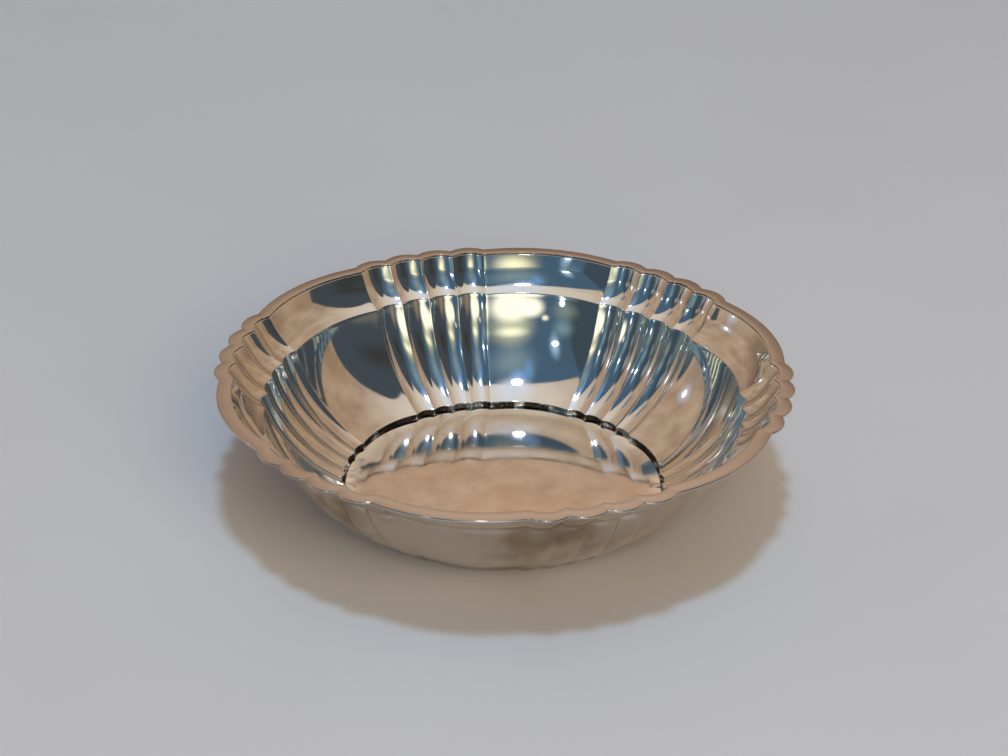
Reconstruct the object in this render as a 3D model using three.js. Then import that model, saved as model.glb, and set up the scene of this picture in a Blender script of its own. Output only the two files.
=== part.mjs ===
// A shallow silver bowl: a fluted sheet bowl with a flat floor, and a border soldered round its edge.
// Millimetres, +Z up. The origin is the middle of the underside, and the front is at -Y.
import * as THREE from "three";

// Overall size. Every radius is measured at the crowns of the flutes.
const RIM_RADIUS = 115;
const HEIGHT = 52.8;

// Sheet bowl: flat floor, a small upright step round it, the swelling wall, a crease, and the flaring lip
const SHEET = 1.0;
const FLOOR_RADIUS = 65.1;
const STEP_HEIGHT = 2.0;
const STEP_LEAN = 0.15;
const WALL_SWELL = 5.0;
const LIP_SPREAD = 12.5;
const LIP_RISE = 12.8;

// The lip rises gently from the crease, then bends up; its two slopes would meet in this corner
const LIP_CORNER_INSET = 5.6; // in from the border's inner edge
const LIP_CORNER_DROP = 9.1; // down from the flange
const LIP_BEND_REACH = 5.4; // how far from the corner the bend starts on either side

// Border: a thin leaf that covers the bowl's turned-out flange, thickened to a round bead at its edge
const BORDER_WIDTH = 5.7;
const BORDER_FALL = 0.3;
const LEAF_THICKNESS = 0.5;
const BEAD_DIAMETER = 1.2;
const SOLDER_GAP = 0.3;

// Fluting: groups of narrow flutes, with one wide panel after each group
const GROUP_COUNT = 6;
const FLUTES_IN_GROUP = 4;
const FLUTE_DEGREES = 7.5;
const FIRST_GROUP_DEGREES = 4.9; // from the front, turning to the right
const RIM_FLUTE_DEPTH = 2.3;
const CREASE_FLUTE_DEPTH = 1.8;
const FLOOR_FLUTE_DEPTH = 1.3;

// Facets of each curve
const FLUTE_STEPS = 4;
const PANEL_STEPS = 6;
const WALL_STEPS = 6;
const LIP_BEND_STEPS = 3;
const BEAD_STEPS = 6;

// Places worked out from the sizes above
const BORDER_INNER_RADIUS = RIM_RADIUS - BORDER_WIDTH;
const CREASE_RADIUS = BORDER_INNER_RADIUS - LIP_SPREAD;
const FLANGE_HEIGHT = HEIGHT - LEAF_THICKNESS - SOLDER_GAP;
const CREASE_HEIGHT = FLANGE_HEIGHT - LIP_RISE;
const FLANGE_RADIUS = RIM_RADIUS - BEAD_DIAMETER - SOLDER_GAP;

/** The columns round the bowl: an angle from the front, and a crown, 0 at a ridge to 1 at mid-flute. */
function fluteColumns() {
  const columns = [];
  const addFlute = (startDegrees, widthDegrees, steps) => {
    for (let step = 0; step < steps; step++) {
      const share = step / steps;
      const angle = THREE.MathUtils.degToRad(startDegrees + share * widthDegrees);
      columns.push({ angle, crown: 4 * share * (1 - share) });
    }
  };
  const pitchDegrees = 360 / GROUP_COUNT;
  const groupDegrees = FLUTES_IN_GROUP * FLUTE_DEGREES;
  for (let group = 0; group < GROUP_COUNT; group++) {
    const startDegrees = FIRST_GROUP_DEGREES + group * pitchDegrees;
    for (let flute = 0; flute < FLUTES_IN_GROUP; flute++) {
      addFlute(startDegrees + flute * FLUTE_DEGREES, FLUTE_DEGREES, FLUTE_STEPS);
    }
    addFlute(startDegrees + groupDegrees, pitchDegrees - groupDegrees, PANEL_STEPS);
  }
  return columns;
}

/** Turns rows { radius, height, depth } round the Z axis; ridges lie the depth inside the crowns. */
function turnFluted(rows, columns) {
  const profile = rows.map((row) => new THREE.Vector2(row.radius, row.height));
  const geometry = new THREE.LatheGeometry(profile, columns.length);
  const position = geometry.getAttribute("position");
  for (let index = 0; index < position.count; index++) {
    const row = rows[index % rows.length];
    const column = columns[Math.floor(index / rows.length) % columns.length];
    const radius = row.radius - row.depth * (1 - column.crown);
    position.setXYZ(index, radius * Math.sin(column.angle), -radius * Math.cos(column.angle), row.height);
  }
  geometry.computeVertexNormals();
  return geometry;
}

/** Rows along a shallow arc between two rows, without its first: it sags down and outward by sagitta. */
function arcRows(from, to, sagitta, steps) {
  const run = to.radius - from.radius;
  const rise = to.height - from.height;
  const chord = Math.hypot(run, rise);
  const rows = [];
  for (let step = 1; step <= steps; step++) {
    const share = step / steps;
    const sag = sagitta * 4 * share * (1 - share);
    rows.push({
      radius: from.radius + run * share + (sag * rise) / chord,
      height: from.height + rise * share - (sag * run) / chord,
      depth: THREE.MathUtils.lerp(from.depth, to.depth, share),
    });
  }
  return rows;
}

/** Rows round the bend at a corner between two rows, from one slope to the other. */
function bendRows(from, corner, to, reach, steps) {
  const towards = (row) => {
    const way = new THREE.Vector2(row.radius - corner.radius, row.height - corner.height).setLength(reach);
    return new THREE.Vector2(corner.radius + way.x, corner.height + way.y);
  };
  const middle = new THREE.Vector2(corner.radius, corner.height);
  const bend = new THREE.QuadraticBezierCurve(towards(from), middle, towards(to));
  return bend.getPoints(steps).map((point, step) => ({
    radius: point.x,
    height: point.y,
    depth: THREE.MathUtils.lerp(from.depth, to.depth, (step + 1) / (steps + 2)),
  }));
}

/** The inner face of the sheet, from the middle of the floor to the edge of the flange under the border. */
function innerRows() {
  const middle = { radius: 0, height: SHEET, depth: 0 };
  const floorEdge = { radius: FLOOR_RADIUS, height: SHEET, depth: FLOOR_FLUTE_DEPTH };
  const stepTop = {
    radius: FLOOR_RADIUS + STEP_LEAN,
    height: SHEET + STEP_HEIGHT,
    depth: FLOOR_FLUTE_DEPTH,
  };
  const crease = { radius: CREASE_RADIUS, height: CREASE_HEIGHT, depth: CREASE_FLUTE_DEPTH };
  const lipCorner = {
    radius: BORDER_INNER_RADIUS - LIP_CORNER_INSET,
    height: FLANGE_HEIGHT - LIP_CORNER_DROP,
  };
  const lipTop = { radius: BORDER_INNER_RADIUS, height: FLANGE_HEIGHT, depth: RIM_FLUTE_DEPTH };
  const flangeFall = (BORDER_FALL * (FLANGE_RADIUS - BORDER_INNER_RADIUS)) / BORDER_WIDTH;
  const flangeEdge = {
    radius: FLANGE_RADIUS,
    height: FLANGE_HEIGHT - flangeFall,
    depth: RIM_FLUTE_DEPTH,
  };
  return [
    middle,
    floorEdge,
    stepTop,
    ...arcRows(stepTop, crease, WALL_SWELL, WALL_STEPS),
    ...bendRows(crease, lipCorner, lipTop, LIP_BEND_REACH, LIP_BEND_STEPS),
    lipTop,
    flangeEdge,
  ];
}

/** The outer face: each inner row moved square to the sheet by its thickness, and mitred at the bends. */
function outerRows(rows) {
  const squareTo = (from, to) => {
    const along = new THREE.Vector2(to.radius - from.radius, to.height - from.height).normalize();
    return new THREE.Vector2(along.y, -along.x);
  };
  return rows.map((row, index) => {
    const before = index > 0 ? squareTo(rows[index - 1], row) : squareTo(row, rows[1]);
    const after = index < rows.length - 1 ? squareTo(row, rows[index + 1]) : before;
    const mitre = before.clone().add(after).normalize();
    const reach = SHEET / mitre.dot(before);
    return {
      radius: row.radius + mitre.x * reach,
      height: row.height + mitre.y * reach,
      depth: row.depth,
    };
  });
}

function bowlSheet(columns) {
  const inner = innerRows();
  return turnFluted([...outerRows(inner), ...inner.reverse()], columns);
}

/** The border: the leaf's underside, the bead from its inner side round to its top, the leaf's top. */
function rimBorder(columns) {
  const beadRadius = BEAD_DIAMETER / 2;
  const beadMiddle = RIM_RADIUS - beadRadius;
  const beadHeight = HEIGHT - BORDER_FALL - beadRadius;
  const leafFall = (BORDER_FALL * (BORDER_WIDTH - BEAD_DIAMETER)) / BORDER_WIDTH;
  const section = [
    [BORDER_INNER_RADIUS, HEIGHT - LEAF_THICKNESS],
    [RIM_RADIUS - BEAD_DIAMETER, HEIGHT - LEAF_THICKNESS - leafFall],
  ];
  for (let step = 0; step <= BEAD_STEPS; step++) {
    const turn = THREE.MathUtils.degToRad(180 + (270 * step) / BEAD_STEPS);
    section.push([beadMiddle + beadRadius * Math.cos(turn), beadHeight + beadRadius * Math.sin(turn)]);
  }
  section.push([BORDER_INNER_RADIUS, HEIGHT]);
  section.push(section[0]);
  const rows = section.map(([radius, height]) => ({ radius, height, depth: RIM_FLUTE_DEPTH }));
  return turnFluted(rows, columns);
}

/** Polished silver, slightly warm. */
function polishedSilver() {
  return new THREE.MeshStandardMaterial({ color: 0xece6dc, metalness: 1.0, roughness: 0.08 });
}

const columns = fluteColumns();
const bowl = new THREE.Group();
const pieces = { bowl_body: bowlSheet(columns), rim_border: rimBorder(columns) };
for (const [name, geometry] of Object.entries(pieces)) {
  const mesh = new THREE.Mesh(geometry, polishedSilver());
  mesh.name = name;
  bowl.add(mesh);
}

export default bowl;
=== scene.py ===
"""A shallow fluted silver bowl with a border soldered round its rim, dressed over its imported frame.

Sizes are in millimetres until a mesh is finished, and Blender's own units are metres. The bowl
stands on z = 0 with its axis on Z, and its front is at -Y. Angles round the bowl are degrees from
the front, turning right.
"""

import logging
import math
from collections.abc import Callable
from dataclasses import dataclass, field
from enum import Enum

import bmesh
import bpy
from mathutils import Matrix, Vector

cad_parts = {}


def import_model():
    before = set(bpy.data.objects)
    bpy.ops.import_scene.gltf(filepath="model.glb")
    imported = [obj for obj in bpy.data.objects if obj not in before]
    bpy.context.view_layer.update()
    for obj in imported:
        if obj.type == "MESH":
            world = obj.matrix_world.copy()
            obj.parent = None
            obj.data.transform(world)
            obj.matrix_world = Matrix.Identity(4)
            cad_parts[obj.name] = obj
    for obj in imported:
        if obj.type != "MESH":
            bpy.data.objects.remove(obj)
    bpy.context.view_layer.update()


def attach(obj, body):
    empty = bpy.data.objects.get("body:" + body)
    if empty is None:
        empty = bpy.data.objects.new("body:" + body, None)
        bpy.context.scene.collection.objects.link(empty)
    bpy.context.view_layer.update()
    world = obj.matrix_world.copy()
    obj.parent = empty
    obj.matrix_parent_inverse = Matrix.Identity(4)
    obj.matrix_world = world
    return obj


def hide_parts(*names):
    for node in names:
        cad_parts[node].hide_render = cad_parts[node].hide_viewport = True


Rgba = tuple[float, float, float, float]
Span = tuple[float, float]

LOG = logging.getLogger("silver_bowl")
MM = 0.001
SEAM_MERGE_MM = 0.001
AXIS_REACH_MM = 1e-6
BEND_SEGMENTS_PER_MM = 2.5
PHOTO_WIDTH_PX = 1008
SENSOR_WIDTH_MM = 36.0

# The sRGB curve is straight up to its foot, and a power above it.
SRGB_FOOT = 0.04045
SRGB_FOOT_SLOPE = 12.92
SRGB_OFFSET = 0.055
SRGB_POWER = 2.4


def linear_rgba(hex_colour: str, strength: float = 1.0) -> Rgba:
    """Turns an sRGB hex colour to linear values, as a colour socket takes them.

    Args:
        hex_colour: six hex digits, such as "E8E2D8".
        strength: how many times as bright as written the colour is.

    Returns:
        Red, green and blue, linear, and an alpha of 1.
    """
    levels = []
    for start in (0, 2, 4):
        share = int(hex_colour[start : start + 2], 16) / 255
        if share <= SRGB_FOOT:
            levels.append(strength * share / SRGB_FOOT_SLOPE)
        else:
            levels.append(strength * ((share + SRGB_OFFSET) / (1 + SRGB_OFFSET)) ** SRGB_POWER)
    return (*levels, 1.0)


def per_metre(size_mm: float) -> float:
    """The scale of a noise whose features are about size_mm across, on coordinates in metres."""
    return 1.0 / (size_mm * MM)


def add_node(
    tree: bpy.types.NodeTree, kind: str, settings: dict | None = None, **links: object
) -> bpy.types.Node:
    """Adds a shader node with its settings and its links.

    A Mix node for colours takes its share at in0 and its colours at in6 and in7, and gives its
    result at output 2.

    Args:
        tree: the node tree.
        kind: the node's type name.
        settings: attributes of the node, such as operation.
        links: socket name (spaces as _, and inN for socket number N) to a value, or to an output
            socket.

    Returns:
        The new node.
    """
    node = tree.nodes.new(kind)
    for name, value in (settings or {}).items():
        setattr(node, name, value)
    for name, value in links.items():
        numbered = name[:2] == "in" and name[2:].isdigit()
        socket = node.inputs[int(name[2:]) if numbered else name.replace("_", " ")]
        if isinstance(value, bpy.types.NodeSocket):
            tree.links.new(value, socket)
        else:
            socket.default_value = value
    return node


def cleared_tree(owner: bpy.types.Material | bpy.types.World) -> bpy.types.NodeTree:
    """Turns on the nodes of a material or a world, and takes out the default ones.

    Args:
        owner: the material or the world.

    Returns:
        Its empty node tree.
    """
    owner.use_nodes = True
    owner.node_tree.nodes.clear()
    return owner.node_tree


def add_object(name: str, data: bpy.types.ID) -> bpy.types.Object:
    """Makes an object of its data and links it to the scene.

    Args:
        name: the object's name.
        data: its mesh, camera or light.

    Returns:
        The object.
    """
    made = bpy.data.objects.new(name, data)
    bpy.context.scene.collection.objects.link(made)
    return made


@dataclass(frozen=True)
class Noise:
    """A noise pattern: about how wide its features are, in mm, and how many finer layers it has."""

    size_mm: float
    detail: float


@dataclass(frozen=True)
class Relief:
    """An uneven relief: its noise, and how deep it goes, in mm."""

    noise: Noise
    depth_mm: float


@dataclass(frozen=True)
class PolishedSilver:
    """Sterling silver, rolled and spun, then polished by hand: a nearly clean mirror.

    The eye gets sharp reflections that waver a little where the sheet isn't quite even, with a
    fine haze of wiping scratches, and a faint warm bloom of tarnish in patches. Faces turned
    downward get a painted shade, darker and browner in patches, for the shaded floor they mirror.
    """

    name: str
    clean_hex: str = "F9F6F0"
    overlay_hex: str = "F0E6D4"
    tarnish_patch: Noise = Noise(38.0, 3.0)
    tarnish_span: Span = (0.45, 0.75)
    # Painted shade: faces turned downward are browned, for the shaded floor that they mirror
    underside_shade_hex: str = "9C8A78"
    underside_shade_least: float = 0.35
    # How far up the surface faces where the painted shade starts, and where it is full
    underside_shade_facing: Span = (0.05, -0.1)
    waver: Relief = Relief(Noise(26.0, 1.0), 0.05)
    dimple: Relief = Relief(Noise(5.0, 2.0), 0.004)
    # Wiping scratches are some hundredths of a millimetre wide. They are drawn 0.5 mm wide, to
    # show at all, and run this many times as long, in one direction.
    scratch: Relief = Relief(Noise(0.5, 2.0), 0.0006)
    scratch_length: float = 14.0
    scratch_turn: tuple[float, float, float] = (0.3, 0.2, 0.9)
    wear: Noise = Noise(13.0, 5.0)
    wear_span: Span = (0.3, 0.7)
    roughness: Span = (0.035, 0.085)

    def material(self) -> bpy.types.Material:
        """Makes the material.

        Returns:
            The material, ready for a piece.
        """
        material = bpy.data.materials.new(self.name)
        tree = cleared_tree(material)
        place = add_node(tree, "ShaderNodeTexCoord").outputs["Object"]
        wear = add_node(
            tree,
            "ShaderNodeTexNoise",
            Vector=place,
            Scale=per_metre(self.wear.size_mm),
            Detail=self.wear.detail,
        )
        roughness = add_node(
            tree,
            "ShaderNodeMapRange",
            Value=wear.outputs["Fac"],
            From_Min=self.wear_span[0],
            From_Max=self.wear_span[1],
            To_Min=self.roughness[0],
            To_Max=self.roughness[1],
        )
        metal = add_node(
            tree,
            "ShaderNodeBsdfPrincipled",
            Base_Color=self.colour(tree, place),
            Metallic=1.0,
            Roughness=roughness.outputs["Result"],
            Normal=self.uneven(tree, place),
        )
        add_node(tree, "ShaderNodeOutputMaterial", Surface=metal.outputs["BSDF"])
        return material

    def colour(
        self, tree: bpy.types.NodeTree, place: bpy.types.NodeSocket
    ) -> bpy.types.NodeSocket:
        """The metal's colour, with its tarnish and a painted shade on faces turned downward.

        Args:
            tree: the material's node tree.
            place: the object coordinates.

        Returns:
            The colour's output socket.
        """
        patches = add_node(
            tree,
            "ShaderNodeTexNoise",
            Vector=place,
            Scale=per_metre(self.tarnish_patch.size_mm),
            Detail=self.tarnish_patch.detail,
        )
        bloom = add_node(
            tree,
            "ShaderNodeMapRange",
            {"interpolation_type": "SMOOTHSTEP"},
            Value=patches.outputs["Fac"],
            From_Min=self.tarnish_span[0],
            From_Max=self.tarnish_span[1],
        ).outputs["Result"]
        most = add_node(tree, "ShaderNodeMapRange", Value=bloom, To_Min=self.underside_shade_least)
        facing = add_node(tree, "ShaderNodeTexCoord").outputs["Normal"]
        # Painted shade on faces turned downward, in patches that follow the tarnish
        outside = add_node(
            tree,
            "ShaderNodeMapRange",
            {"interpolation_type": "SMOOTHSTEP"},
            Value=add_node(tree, "ShaderNodeSeparateXYZ", Vector=facing).outputs["Z"],
            From_Min=self.underside_shade_facing[0],
            From_Max=self.underside_shade_facing[1],
            To_Max=most.outputs["Result"],
        ).outputs["Result"]
        inside = self.tint(tree, linear_rgba(self.clean_hex), self.overlay_hex, bloom)
        return self.tint(tree, inside, self.underside_shade_hex, outside)

    def tint(
        self,
        tree: bpy.types.NodeTree,
        metal: bpy.types.NodeSocket | Rgba,
        overlay_hex: str,
        share: bpy.types.NodeSocket,
    ) -> bpy.types.NodeSocket:
        """Lays one colour over the metal: tarnish, dulling or painted shade.

        Args:
            tree: the material's node tree.
            metal: the metal's colour so far.
            overlay_hex: the colour laid over the metal.
            share: how much of it shows.

        Returns:
            The colour's output socket, with the overlay.
        """
        # The colour laid over is tarnish, dulling, or painted shade
        tarnish = linear_rgba(overlay_hex)
        return add_node(
            tree, "ShaderNodeMix", {"data_type": "RGBA"}, in0=share, in6=metal, in7=tarnish
        ).outputs[2]

    def uneven(
        self, tree: bpy.types.NodeTree, place: bpy.types.NodeSocket
    ) -> bpy.types.NodeSocket:
        """The surface's small unevenness, from the widest to the finest.

        Args:
            tree: the material's node tree.
            place: the object coordinates.

        Returns:
            The normal's output socket.
        """
        along = add_node(
            tree,
            "ShaderNodeMapping",
            Vector=place,
            Rotation=self.scratch_turn,
            Scale=(1.0, 1 / self.scratch_length, 1.0),
        ).outputs["Vector"]
        normal = None
        for vector, relief in ((place, self.waver), (place, self.dimple), (along, self.scratch)):
            noise = add_node(
                tree,
                "ShaderNodeTexNoise",
                Vector=vector,
                Scale=per_metre(relief.noise.size_mm),
                Detail=relief.noise.detail,
            )
            bump = add_node(
                tree,
                "ShaderNodeBump",
                Strength=1.0,
                Distance=relief.depth_mm * MM,
                Height=noise.outputs["Fac"],
            )
            if normal is not None:
                tree.links.new(normal, bump.inputs["Normal"])
            normal = bump.outputs["Normal"]
        return normal


@dataclass(frozen=True)
class ServedOnSilver(PolishedSilver):
    """The bowl's own silver: a floor dulled by use, and a painted shade on the step round it.

    The eye gets a faintly blotchy, duller floor, and a broken line of painted shade round it.
    """

    dulled_hex: str = "D2C3B6"
    # The radii where the dulling starts and where it is full
    dulled_radii_mm: Span = (64.5, 55.5)
    blotch: Noise = Noise(12.0, 4.0)
    blotch_span: Span = (0.3, 0.7)
    blotch_least: float = 0.5
    # Painted shade: a broken dark line up the step's inner face, for the dark the corner mirrors
    step_shade_hex: str = "4E4138"
    step_shade_radius_mm: float = 65.2
    # The painted step shade's limits: each is where it starts to show, and where it is full
    step_shade_away_mm: Span = (1.5, 1.2)
    step_shade_height_mm: Span = (3.1, 2.85)
    step_shade_facing: Span = (-0.03, 0.03)
    step_shade_break: Noise = Noise(7.0, 2.0)
    step_shade_break_span: Span = (0.38, 0.5)
    step_shade_least: float = 0.3

    def colour(
        self, tree: bpy.types.NodeTree, place: bpy.types.NodeSocket
    ) -> bpy.types.NodeSocket:
        """The metal's colour: its tarnish, painted shade below and on the step, and dulled floor.

        Args:
            tree: the material's node tree.
            place: the object coordinates.

        Returns:
            The colour's output socket.
        """
        flat = add_node(
            tree,
            "ShaderNodeVectorMath",
            {"operation": "MULTIPLY"},
            in0=place,
            in1=(1.0, 1.0, 0.0),
        ).outputs["Vector"]
        radius = add_node(
            tree, "ShaderNodeVectorMath", {"operation": "LENGTH"}, in0=flat
        ).outputs["Value"]
        metal = super().colour(tree, place)
        metal = self.tint(tree, metal, self.dulled_hex, self.dulled(tree, place, radius))
        # The step's dark line is painted shade
        return self.tint(tree, metal, self.step_shade_hex, self.line(tree, place, radius))

    def dulled(
        self,
        tree: bpy.types.NodeTree,
        place: bpy.types.NodeSocket,
        radius: bpy.types.NodeSocket,
    ) -> bpy.types.NodeSocket:
        """How dulled the floor is.

        Args:
            tree: the material's node tree.
            place: the object coordinates.
            radius: the distance from the bowl's axis.

        Returns:
            The share's output socket.
        """
        blotches = add_node(
            tree,
            "ShaderNodeTexNoise",
            Vector=place,
            Scale=per_metre(self.blotch.size_mm),
            Detail=self.blotch.detail,
        )
        most = add_node(
            tree,
            "ShaderNodeMapRange",
            Value=blotches.outputs["Fac"],
            From_Min=self.blotch_span[0],
            From_Max=self.blotch_span[1],
            To_Min=self.blotch_least,
        )
        return add_node(
            tree,
            "ShaderNodeMapRange",
            {"interpolation_type": "SMOOTHSTEP"},
            Value=radius,
            From_Min=self.dulled_radii_mm[0] * MM,
            From_Max=self.dulled_radii_mm[1] * MM,
            To_Max=most.outputs["Result"],
        ).outputs["Result"]

    def line(
        self,
        tree: bpy.types.NodeTree,
        place: bpy.types.NodeSocket,
        radius: bpy.types.NodeSocket,
    ) -> bpy.types.NodeSocket:
        """How much painted shade shows: a dark line up the step's inner face, with breaks in it.

        Args:
            tree: the material's node tree.
            place: the object coordinates.
            radius: the distance from the bowl's axis.

        Returns:
            The share's output socket.
        """
        breaks = add_node(
            tree,
            "ShaderNodeTexNoise",
            Vector=place,
            Scale=per_metre(self.step_shade_break.size_mm),
            Detail=self.step_shade_break.detail,
        )
        share = add_node(
            tree,
            "ShaderNodeMapRange",
            Value=breaks.outputs["Fac"],
            From_Min=self.step_shade_break_span[0],
            From_Max=self.step_shade_break_span[1],
            To_Min=self.step_shade_least,
        ).outputs["Result"]
        off = add_node(
            tree,
            "ShaderNodeMath",
            {"operation": "SUBTRACT"},
            in0=radius,
            in1=self.step_shade_radius_mm * MM,
        ).outputs[0]
        away = add_node(tree, "ShaderNodeMath", {"operation": "ABSOLUTE"}, in0=off).outputs[0]
        height = add_node(tree, "ShaderNodeSeparateXYZ", Vector=place).outputs["Z"]
        facing = add_node(tree, "ShaderNodeTexCoord").outputs["Normal"]
        upward = add_node(tree, "ShaderNodeSeparateXYZ", Vector=facing).outputs["Z"]
        limits = (
            (away, self.step_shade_away_mm, MM),
            (height, self.step_shade_height_mm, MM),
            (upward, self.step_shade_facing, 1.0),
        )
        for value, (none, full), unit in limits:
            share = add_node(
                tree,
                "ShaderNodeMapRange",
                Value=value,
                From_Min=none * unit,
                From_Max=full * unit,
                To_Max=share,
            ).outputs["Result"]
        return share


@dataclass(frozen=True)
class PaleFloor:
    """Matt painted board, in a pale grey, with a faint unevenness in the paint."""

    name: str = "pale_floor"
    light_hex: str = "C6C6C9"
    dark_hex: str = "C0BFC2"
    patch: Noise = Noise(120.0, 4.0)
    roughness: float = 0.7

    def material(self) -> bpy.types.Material:
        """Makes the material.

        Returns:
            The material for the floor.
        """
        material = bpy.data.materials.new(self.name)
        tree = cleared_tree(material)
        place = add_node(tree, "ShaderNodeTexCoord").outputs["Object"]
        patches = add_node(
            tree,
            "ShaderNodeTexNoise",
            Vector=place,
            Scale=per_metre(self.patch.size_mm),
            Detail=self.patch.detail,
        )
        colour = add_node(
            tree,
            "ShaderNodeMix",
            {"data_type": "RGBA"},
            in0=patches.outputs["Fac"],
            in6=linear_rgba(self.light_hex),
            in7=linear_rgba(self.dark_hex),
        ).outputs[2]
        paint = add_node(
            tree, "ShaderNodeBsdfPrincipled", Base_Color=colour, Roughness=self.roughness
        )
        add_node(tree, "ShaderNodeOutputMaterial", Surface=paint.outputs["BSDF"])
        return material


@dataclass(frozen=True)
class Column:
    """An upright line of the fluted surface: its angle in radians, and its crown.

    The crown is 0 at a ridge and 1 at mid-flute.
    """

    angle: float
    crown: float


@dataclass(frozen=True)
class Fluting:
    """Groups of narrow flutes with a wide panel after each, alike on the sheet and the border."""

    group_count: int = 6
    flutes_in_group: int = 4
    flute_degrees: float = 7.5
    first_group_degrees: float = 4.9
    flute_columns: int = 16
    panel_columns: int = 32
    ridge_rounding: float = 0.012

    @property
    def group_columns(self) -> int:
        """The columns of one group of flutes and its panel."""
        return self.flutes_in_group * self.flute_columns + self.panel_columns

    def crown(self, share: float) -> float:
        """How far out the surface lies across a flute.

        Args:
            share: the place across the flute, from 0 to 1.

        Returns:
            0 at a ridge, which is slightly rounded, to 1 at mid-flute.
        """
        edge = min(share, 1 - share)
        rounded = math.hypot(edge, self.ridge_rounding) - self.ridge_rounding * (1 - 2 * edge)
        return 4 * rounded * (1 - rounded)

    def columns(self) -> list[Column]:
        """The columns round the bowl, closest together at the ridges.

        Returns:
            The columns, from the first group's first ridge.
        """
        panel_degrees = 360 / self.group_count - self.flutes_in_group * self.flute_degrees
        flutes = [(self.flute_degrees, self.flute_columns)] * self.flutes_in_group
        spans = [*flutes, (panel_degrees, self.panel_columns)]
        columns = []
        start = self.first_group_degrees
        for width, count in spans * self.group_count:
            for step in range(count):
                share = (1 - math.cos(math.pi * step / count)) / 2
                angle = math.radians(start + width * share)
                columns.append(Column(angle, self.crown(share)))
            start += width
        return columns

    def flute(self, mesh: bmesh.types.BMesh, depth_at: Callable[[float], float]) -> None:
        """Moves the vertices of a plain turned shape into flutes.

        Args:
            mesh: a shape turned in as many even steps as there are columns, from angle 0.
            depth_at: gives the depth of the ridges, in mm, from a vertex's radius in mm.
        """
        columns = self.columns()
        for vertex in mesh.verts:
            radius = math.hypot(vertex.co.x, vertex.co.y)
            if radius < AXIS_REACH_MM:
                continue
            turn = math.atan2(vertex.co.x, -vertex.co.y) / (2 * math.pi)
            column = columns[round(turn * len(columns)) % len(columns)]
            radius -= depth_at(radius) * (1 - column.crown)
            vertex.co.x = radius * math.sin(column.angle)
            vertex.co.y = -radius * math.cos(column.angle)


@dataclass(frozen=True)
class Bend:
    """A corner of a section: its radius and height, and how far from it its rounding starts."""

    radius: float
    height: float
    rounding: float = 0.0


def arc_between(start: Bend, end: Bend, sagitta: float, steps: int) -> list[Bend]:
    """Points along a shallow arc between two corners, without the corners.

    Args:
        start: the lower corner.
        end: the upper corner.
        sagitta: how far the arc sags down and outward from its chord.
        steps: how many steps the arc has.

    Returns:
        The points between the corners.
    """
    run, rise = end.radius - start.radius, end.height - start.height
    chord = math.hypot(run, rise)
    points = []
    for step in range(1, steps):
        share = step / steps
        sag = sagitta * 4 * share * (1 - share)
        radius = start.radius + run * share + sag * rise / chord
        points.append(Bend(radius, start.height + rise * share - sag * run / chord))
    return points


def square_to(start: Bend, end: Bend) -> Vector:
    """The unit vector square to the way from start to end, to the right of it."""
    along = Vector((end.radius - start.radius, end.height - start.height)).normalized()
    return Vector((along.y, -along.x))


def offset_section(section: list[Bend], thickness: float) -> list[Bend]:
    """Moves a section square to itself, mitred at its bends, so the sheet stays evenly thick.

    Args:
        section: the inner face, from the axis outward.
        thickness: the sheet's thickness.

    Returns:
        The outer face, in the same order.
    """
    moved = []
    last = len(section) - 1
    for index, bend in enumerate(section):
        before = square_to(section[max(index - 1, 0)], section[max(index, 1)])
        after = square_to(section[min(index, last - 1)], section[min(index + 1, last)])
        mitre = (before + after).normalized()
        shift = mitre * (thickness / mitre.dot(before))
        rounding = 0.0
        if bend.rounding:
            # A bend that turns up toward the axis is hollow inside, so it is rounder outside.
            hollow = before.x * after.y - before.y * after.x > 0
            change = thickness * math.tan(before.angle(after) / 2)
            rounding = max(bend.rounding + (change if hollow else -change), 0.0)
        moved.append(Bend(bend.radius + shift.x, bend.height + shift.y, rounding))
    return moved


def turned_shape(
    section: list[Bend], closed: bool, repeats: int, steps: int, bend_segments: int
) -> bmesh.types.BMesh:
    """Rounds a section's bends and spins it round the Z axis: one sector, which is then repeated.

    Args:
        section: the section's corners and arc points, in mm.
        closed: whether the section closes on itself, or else starts and ends on the axis.
        repeats: how many sectors the turn has.
        steps: how many even steps each sector has.
        bend_segments: how many segments each rounded bend has, at the least.

    Returns:
        The shape as a closed mesh, in mm, with its first column at angle 0.
    """
    mesh = bmesh.new()
    verts = [mesh.verts.new((0.0, -bend.radius, bend.height)) for bend in section]
    for start, end in zip(verts, verts[1:]):
        mesh.edges.new((start, end))
    if closed:
        mesh.edges.new((verts[-1], verts[0]))
    for vertex, bend in zip(verts, section):
        if bend.rounding > 0:
            bmesh.ops.bevel(
                mesh,
                geom=[vertex],
                offset=bend.rounding,
                offset_type="OFFSET",
                segments=max(bend_segments, math.ceil(BEND_SEGMENTS_PER_MM * bend.rounding)),
                profile=0.5,
                affect="VERTICES",
                material=-1,
            )
    sector_angle = 2 * math.pi / repeats
    bmesh.ops.spin(
        mesh,
        geom=mesh.verts[:] + mesh.edges[:],
        cent=(0, 0, 0),
        axis=(0, 0, 1),
        angle=sector_angle,
        steps=steps,
        use_merge=False,
    )
    sector = mesh.verts[:] + mesh.edges[:] + mesh.faces[:]
    for repeat in range(1, repeats):
        copied = bmesh.ops.duplicate(mesh, geom=sector)["geom"]
        bmesh.ops.rotate(
            mesh,
            cent=(0, 0, 0),
            matrix=Matrix.Rotation(repeat * sector_angle, 3, "Z"),
            verts=[element for element in copied if isinstance(element, bmesh.types.BMVert)],
        )
    bmesh.ops.remove_doubles(mesh, verts=mesh.verts[:], dist=SEAM_MERGE_MM)
    return mesh


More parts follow.
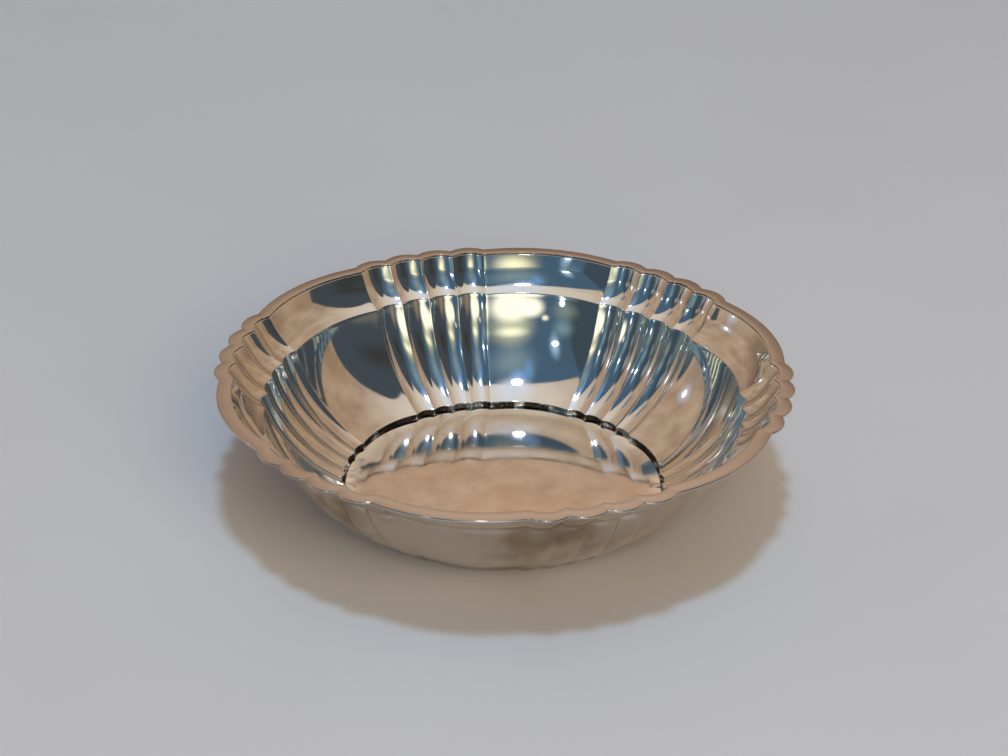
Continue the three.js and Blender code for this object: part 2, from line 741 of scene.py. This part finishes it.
def finished_piece(
    name: str, mesh: bmesh.types.BMesh, material: bpy.types.Material
) -> bpy.types.Object:
    """Turns a shape in mm into a smooth-shaded piece in metres, at the origin.

    Args:
        name: the piece's name.
        mesh: the shape, which is freed.
        material: its finish.

    Returns:
        The new object.
    """
    bmesh.ops.scale(mesh, vec=(MM, MM, MM), verts=mesh.verts[:])
    bmesh.ops.recalc_face_normals(mesh, faces=mesh.faces[:])
    for face in mesh.faces:
        face.smooth = True
    data = bpy.data.meshes.new(name)
    mesh.to_mesh(data)
    mesh.free()
    data.materials.append(material)
    return add_object(name, data)


@dataclass
class RimBorder:
    """The border soldered round the bowl's edge: a thin flat leaf with a round bead outside."""

    fluting: Fluting
    rim_radius: float = 115.0
    height: float = 52.8
    width: float = 5.7
    fall: float = 0.3
    leaf_thickness: float = 0.5
    edge_rounding: float = 0.14
    edge_undercut: float = 0.05
    ridge_depth: float = 2.3
    # The solder under the leaf, and how far it stays in from the leaf's edge and from the bead
    solder_thickness: float = 0.28
    solder_inset: float = 0.25
    solder_to_bead: float = 0.35
    # The bead, drawn in degrees from its inner side, under it and round to its top
    bead_diameter: float = 1.2
    bead_start: float = 180.0
    bead_turn: float = 270.0
    bead_steps: int = 18
    bend_segments: int = 4

    @property
    def inner_radius(self) -> float:
        """The radius of the leaf's inner edge."""
        return self.rim_radius - self.width

    def section(self) -> list[Bend]:
        """The border's closed section: the soldered underside, the bead and the leaf's top.

        Returns:
            The section's corners and the bead's points.
        """
        bead_radius = self.bead_diameter / 2
        bead_inner = self.rim_radius - self.bead_diameter
        leaf_fall = self.fall * (self.width - self.bead_diameter) / self.width
        underside = self.height - self.leaf_thickness
        solder = underside - self.solder_thickness
        section = [
            Bend(self.inner_radius + self.solder_inset, solder),
            Bend(bead_inner - self.solder_to_bead, solder - leaf_fall),
            Bend(bead_inner, underside - leaf_fall),
        ]
        centre = Vector((self.rim_radius - bead_radius, self.height - self.fall - bead_radius))
        for step in range(self.bead_steps + 1):
            turn = math.radians(self.bead_start + self.bead_turn * step / self.bead_steps)
            point = centre + bead_radius * Vector((math.cos(turn), math.sin(turn)))
            section.append(Bend(point.x, point.y))
        section.append(Bend(self.inner_radius, self.height, self.edge_rounding))
        section.append(Bend(self.inner_radius, underside + self.edge_undercut))
        return section

    def build(self) -> bmesh.types.BMesh:
        """Makes the fluted border.

        Returns:
            Its shape, in mm.
        """
        groups, columns = self.fluting.group_count, self.fluting.group_columns
        shape = turned_shape(self.section(), True, groups, columns, self.bend_segments)
        self.fluting.flute(shape, lambda radius: self.ridge_depth)
        return shape

    def dress(self, finish: PolishedSilver) -> bpy.types.Object:
        """Makes the piece and reports it to the frame.

        Args:
            finish: the border's finish.

        Returns:
            The piece.
        """
        piece = finished_piece("silver_border", self.build(), finish.material())
        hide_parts("rim_border")
        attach(piece, "root")
        return piece


@dataclass
class SheetBowl:
    """The bowl's one sheet: flat floor, step, swelling fluted wall, crease, lip and flange."""

    fluting: Fluting
    border: RimBorder
    sheet: float = 1.0
    floor_radius: float = 65.1
    floor_rings: tuple[float, ...] = (0.0, 0.25, 0.5, 0.75, 0.9)
    floor_blend: float = 8.0
    floor_rounding: float = 0.3
    floor_ridge_depth: float = 1.3
    step_height: float = 2.0
    step_lean: float = 0.15
    step_rounding: float = 0.35
    wall_swell: float = 5.0
    wall_steps: int = 30
    crease_rounding: float = 0.35
    crease_ridge_depth: float = 1.8
    lip_spread: float = 12.5
    lip_rise: float = 12.8
    lip_corner_inset: float = 5.6
    lip_corner_drop: float = 9.1
    lip_bend_reach: float = 5.4
    flange_rounding: float = 0.55
    solder_gap: float = 0.3
    bend_segments: int = 5

    @property
    def crease_radius(self) -> float:
        """The radius of the crease between wall and lip."""
        return self.border.inner_radius - self.lip_spread

    def inner_section(self) -> list[Bend]:
        """The sheet's inner face, from the middle of the floor to the flange's edge.

        Returns:
            The corners and arc points.
        """
        border = self.border
        flange_height = border.height - border.leaf_thickness - self.solder_gap
        flange_radius = border.rim_radius - border.bead_diameter - self.solder_gap
        flange_fall = border.fall * (flange_radius - border.inner_radius) / border.width
        floor = [Bend(self.floor_radius * share, self.sheet) for share in self.floor_rings]
        floor_edge = Bend(self.floor_radius, self.sheet, self.floor_rounding)
        step_top = Bend(
            self.floor_radius + self.step_lean, self.sheet + self.step_height, self.step_rounding
        )
        crease = Bend(self.crease_radius, flange_height - self.lip_rise, self.crease_rounding)
        lip_corner = Bend(
            border.inner_radius - self.lip_corner_inset,
            flange_height - self.lip_corner_drop,
            self.lip_bend_reach,
        )
        lip_top = Bend(border.inner_radius, flange_height, self.flange_rounding)
        flange_edge = Bend(flange_radius, flange_height - flange_fall)
        wall = arc_between(step_top, crease, self.wall_swell, self.wall_steps)
        return [*floor, floor_edge, step_top, *wall, crease, lip_corner, lip_top, flange_edge]

    def ridge_depth(self, radius: float) -> float:
        """How far the ridges lie inside the crowns.

        Args:
            radius: the radius at the crowns, in mm.

        Returns:
            The depth in mm: none over the floor's middle, and more from the floor's edge up to
            the border.
        """
        places = (
            (self.floor_radius - self.floor_blend, 0.0),
            (self.floor_radius, self.floor_ridge_depth),
            (self.crease_radius, self.crease_ridge_depth),
            (self.border.inner_radius, self.border.ridge_depth),
        )
        for (inner, inner_depth), (outer, outer_depth) in zip(places, places[1:]):
            if radius <= outer:
                share = max((radius - inner) / (outer - inner), 0.0)
                return inner_depth + (outer_depth - inner_depth) * share
        return self.border.ridge_depth

    def build(self) -> bmesh.types.BMesh:
        """Makes the fluted sheet.

        Returns:
            Its closed shape, in mm.
        """
        inner = self.inner_section()
        section = [*offset_section(inner, self.sheet), *reversed(inner)]
        groups, columns = self.fluting.group_count, self.fluting.group_columns
        shape = turned_shape(section, False, groups, columns, self.bend_segments)
        self.fluting.flute(shape, self.ridge_depth)
        return shape

    def dress(self, finish: PolishedSilver) -> bpy.types.Object:
        """Makes the piece and reports it to the frame.

        Args:
            finish: the sheet's finish.

        Returns:
            The piece.
        """
        piece = finished_piece("silver_sheet_bowl", self.build(), finish.material())
        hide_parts("bowl_body")
        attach(piece, "root")
        return piece


class Outline(Enum):
    """The outline of a patch of the room."""

    ROUND = "round"
    BOX = "box"


@dataclass(frozen=True)
class Patch:
    """A patch of the room: its middle, how far it reaches across and along, and its light.

    All four are in degrees. Softness is the share of the reach over which it fades in from its
    outline.
    """

    side: float
    over: float
    across: float
    along: float
    softness: float
    colour_hex: str
    strength: float = 1.0
    outline: Outline = Outline.ROUND
    opacity: float = 1.0


@dataclass(frozen=True)
class Room:
    """The room that the silver mirrors: warm walls beyond the bowl, and dim ones behind the camera.

    A place in it has a side, in degrees to the right of the upright plane through the camera and
    the bowl, and an over, in degrees from level beyond the bowl, up over the top, and down to
    level behind the camera.
    """

    wall_hex: str = "BFA890"
    wall_blush_hex: str = "977E6C"
    blush_scale: float = 5.0
    blush_detail: float = 5.0
    blush_span: Span = (0.25, 0.75)
    corner_rounding: float = 0.2
    patches: tuple[Patch, ...] = (
        # the far wall is darker low down and to the sides, and pale where it nears the ceiling
        Patch(0, 0, 100, 34, 0.95, "6C584A", outline=Outline.BOX),
        Patch(90, 45, 50, 70, 1.0, "8C7458"),
        Patch(-90, 45, 40, 60, 1.0, "8C8478"),
        Patch(3, 86, 56, 46, 1.0, "DAD4CB", opacity=0.95),
        Patch(1, 35, 15, 15, 1.0, "D6BCA6"),
        # the dim room behind the camera, in three parts with crisp edges
        Patch(-7, 156, 35, 61, 0.03, "456078", outline=Outline.BOX),
        Patch(67, 146, 41, 63, 0.03, "414A53", outline=Outline.BOX),
        Patch(-84, 146, 48, 60, 0.05, "3E4C58", outline=Outline.BOX),
        # a dim spot on the ceiling
        Patch(-36, 77, 9, 6, 0.5, "6C7A8C"),
        # the dim room's paler and warmer parts, and its darkest corner
        Patch(-34, 158, 14, 12, 1.0, "869690", opacity=0.8),
        Patch(60, 167, 22, 12, 1.0, "7C7A72", opacity=0.7),
        Patch(46, 124, 24, 20, 1.0, "383A38"),
        Patch(38, 166, 17, 20, 0.8, "8C7C6C"),
        Patch(-76, 134, 22, 50, 0.9, "66787A"),
        Patch(-50, 107, 5, 15, 0.8, "BCBFB8", opacity=0.6),
        Patch(-57, 104, 6, 22, 0.8, "A4ACB2", opacity=0.6),
        Patch(-57, 132, 5, 14, 0.8, "A0A8A2", opacity=0.6),
        Patch(-32, 143, 11, 12, 1.0, "7694A2"),
        Patch(3, 116, 20, 24, 1.0, "849CA6", opacity=0.8),
        Patch(-7, 108, 5, 15, 1.0, "6C96C4"),
        Patch(5, 147, 21, 24, 0.9, "C8CCB0"),
        # the overhead lamp and its halo
        Patch(1.5, 91, 13, 14, 0.8, "D4DCEA"),
        Patch(-1, 101, 7, 11, 1.0, "88B0F0"),
        Patch(-0.5, 98, 2.9, 2.9, 0.6, "FFFFFF", 26.0),
        # a star lamp and its streak
        Patch(-25, 128, 5, 16, 1.0, "A4C8E4"),
        Patch(-25.5, 130, 2.6, 2.6, 0.7, "E4F0FF", 12.0),
        # the window behind the camera, with the pale glow over it and two small lights beside it
        Patch(5, 141, 16, 6, 1.0, "FAFAD8", 1.2),
        Patch(6, 161, 20, 15, 0.6, "FFFDE6", 1.25),
        Patch(-9, 160, 12, 10, 0.7, "FFFDE6", 1.3),
        Patch(-19, 152, 3.5, 3, 0.8, "F6F4D8", 1.2),
        Patch(-31.5, 164, 2.6, 3.2, 0.6, "E6F6FA", 3.0),
        # a lamp low on the left
        Patch(-62, 62, 9, 15, 1.0, "BFC4D6"),
        Patch(-62, 62, 3.2, 4, 0.9, "F4F6FF", 5.0),
    )

    def light(self) -> None:
        """Makes the world."""
        world = bpy.data.worlds.new("room")
        bpy.context.scene.world = world
        tree = cleared_tree(world)
        way = add_node(tree, "ShaderNodeTexCoord").outputs["Generated"]
        parts = add_node(tree, "ShaderNodeSeparateXYZ", Vector=way).outputs
        side = add_node(
            tree, "ShaderNodeMath", {"operation": "ARCSINE"}, in0=parts["X"]
        ).outputs[0]
        over = add_node(
            tree, "ShaderNodeMath", {"operation": "ARCTAN2"}, in0=parts["Z"], in1=parts["Y"]
        ).outputs[0]
        place = add_node(tree, "ShaderNodeCombineXYZ", X=side, Y=over).outputs["Vector"]
        noise = add_node(
            tree,
            "ShaderNodeTexNoise",
            Vector=way,
            Scale=self.blush_scale,
            Detail=self.blush_detail,
        )
        blush = add_node(
            tree,
            "ShaderNodeMapRange",
            Value=noise.outputs["Fac"],
            From_Min=self.blush_span[0],
            From_Max=self.blush_span[1],
        )
        colour = add_node(
            tree,
            "ShaderNodeMix",
            {"data_type": "RGBA"},
            in0=blush.outputs["Result"],
            in6=linear_rgba(self.wall_hex),
            in7=linear_rgba(self.wall_blush_hex),
        ).outputs[2]
        for patch in self.patches:
            colour = self.lay(tree, place, colour, patch)
        light = add_node(tree, "ShaderNodeBackground", Color=colour, Strength=1.0)
        add_node(tree, "ShaderNodeOutputWorld", Surface=light.outputs["Background"])

    def lay(
        self,
        tree: bpy.types.NodeTree,
        place: bpy.types.NodeSocket,
        room: bpy.types.NodeSocket,
        patch: Patch,
    ) -> bpy.types.NodeSocket:
        """Lays one patch over the room.

        Args:
            tree: the world's node tree.
            place: the side and over of the direction looked in, in radians.
            room: the room's colour so far.
            patch: the patch.

        Returns:
            The room's colour with the patch.
        """
        local = add_node(
            tree,
            "ShaderNodeMapping",
            {"vector_type": "TEXTURE"},
            Vector=place,
            Location=(math.radians(patch.side), math.radians(patch.over), 0.0),
            Scale=(math.radians(patch.across), math.radians(patch.along), 1.0),
        ).outputs["Vector"]
        if patch.outline is Outline.ROUND:
            reach = add_node(
                tree, "ShaderNodeVectorMath", {"operation": "LENGTH"}, in0=local
            ).outputs["Value"]
        else:
            size = add_node(tree, "ShaderNodeVectorMath", {"operation": "ABSOLUTE"}, in0=local)
            parts = add_node(tree, "ShaderNodeSeparateXYZ", Vector=size.outputs["Vector"]).outputs
            reach = add_node(
                tree,
                "ShaderNodeMath",
                {"operation": "SMOOTH_MAX"},
                in0=parts["X"],
                in1=parts["Y"],
                in2=self.corner_rounding,
            ).outputs[0]
        share = add_node(
            tree,
            "ShaderNodeMapRange",
            {"interpolation_type": "SMOOTHSTEP"},
            Value=reach,
            From_Min=1.0,
            From_Max=1.0 - patch.softness,
            To_Max=patch.opacity,
        )
        return add_node(
            tree,
            "ShaderNodeMix",
            {"data_type": "RGBA"},
            in0=share.outputs["Result"],
            in6=room,
            in7=linear_rgba(patch.colour_hex, patch.strength),
        ).outputs[2]


@dataclass(frozen=True)
class Lamp:
    """A round soft lamp that points at the bowl. Its place and width are in metres."""

    name: str
    place: tuple[float, float, float]
    width: float
    colour_hex: str
    watts: float

    def hang(self) -> None:
        """Hangs the lamp. It lights the floor, and the silver mirrors the room's own lights."""
        data = bpy.data.lights.new(self.name, "AREA")
        data.shape = "DISK"
        data.size = self.width
        data.energy = self.watts
        data.color = linear_rgba(self.colour_hex)[:3]
        lamp = add_object(self.name, data)
        place = Vector(self.place)
        facing = (-place).to_track_quat("-Z", "Y").to_matrix().to_4x4()
        lamp.matrix_world = Matrix.Translation(place) @ facing
        lamp.visible_glossy = False


@dataclass
class Studio:
    """The floor, the lamps, the room and the camera."""

    room: Room = field(default_factory=Room)
    floor: PaleFloor = field(default_factory=PaleFloor)
    floor_width_m: float = 60.0
    lamps: tuple[Lamp, ...] = (
        Lamp("overhead_lamp", (0.0, -0.39, 3.0), 0.33, "AADAFF", 34.7),
        Lamp("warm_fill", (1.05, -2.55, 1.65), 2.7, "FFE3BE", 81.0),
    )
    # The rim's middle lies rim_centre_px off the middle of the picture, to the right and up.
    lens_focal_px: float = 2610.0
    camera_distance: float = 1035.0
    camera_elevation: float = 28.145
    camera_roll: float = 0.631
    rim_centre_px: tuple[float, float] = (0.179, -5.702)
    rim_plane_height: float = 51.9
    clip_m: Span = (0.01, 100.0)

    def build_floor(self) -> None:
        """Lays the floor."""
        mesh = bmesh.new()
        bmesh.ops.create_grid(mesh, x_segments=1, y_segments=1, size=self.floor_width_m / 2)
        data = bpy.data.meshes.new("floor")
        mesh.to_mesh(data)
        mesh.free()
        data.materials.append(self.floor.material())
        add_object("floor", data)

    def build_camera(self) -> None:
        """Sets up the camera at the photograph's viewing angle."""
        elevation = math.radians(self.camera_elevation)
        target = Vector((0.0, 0.0, self.rim_plane_height))
        away = Vector((0.0, -math.cos(elevation), math.sin(elevation)))
        forward = -away
        right = Vector((1.0, 0.0, 0.0))
        up = right.cross(forward)
        yaw, pitch = (math.atan(offset / self.lens_focal_px) for offset in self.rim_centre_px)
        roll = math.radians(self.camera_roll)
        right, forward = (
            right * math.cos(yaw) + forward * math.sin(yaw),
            forward * math.cos(yaw) - right * math.sin(yaw),
        )
        up, forward = (
            up * math.cos(pitch) - forward * math.sin(pitch),
            up * math.sin(pitch) + forward * math.cos(pitch),
        )
        right, up = (
            right * math.cos(roll) + up * math.sin(roll),
            up * math.cos(roll) - right * math.sin(roll),
        )
        data = bpy.data.cameras.new("camera")
        data.sensor_width = SENSOR_WIDTH_MM
        data.lens = self.lens_focal_px / PHOTO_WIDTH_PX * SENSOR_WIDTH_MM
        data.clip_start, data.clip_end = self.clip_m
        camera = add_object("camera", data)
        place = Matrix((right, up, -forward)).transposed().to_4x4()
        place.translation = (target + away * self.camera_distance) * MM
        camera.matrix_world = place
        bpy.context.scene.camera = camera

    def build(self) -> None:
        """Makes the whole studio, and keeps colours as they are written."""
        self.build_camera()
        self.build_floor()
        self.room.light()
        for lamp in self.lamps:
            lamp.hang()
        bpy.context.scene.view_settings.view_transform = "Standard"


def main() -> None:
    """Builds the bowl piece by piece in its studio."""
    logging.basicConfig(level=logging.INFO, format="%(name)s: %(message)s")
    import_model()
    Studio().build()
    fluting = Fluting()
    border = RimBorder(fluting)
    bowl = SheetBowl(fluting, border)
    sheet_finish = ServedOnSilver("polished_silver_sheet")
    border_finish = PolishedSilver(
        "polished_silver_border", clean_hex="D7CFC9", overlay_hex="CAC1B7"
    )
    for piece in (bowl.dress(sheet_finish), border.dress(border_finish)):
        LOG.info("%s: %d faces", piece.name, len(piece.data.polygons))


if __name__ == "__main__":
    main()
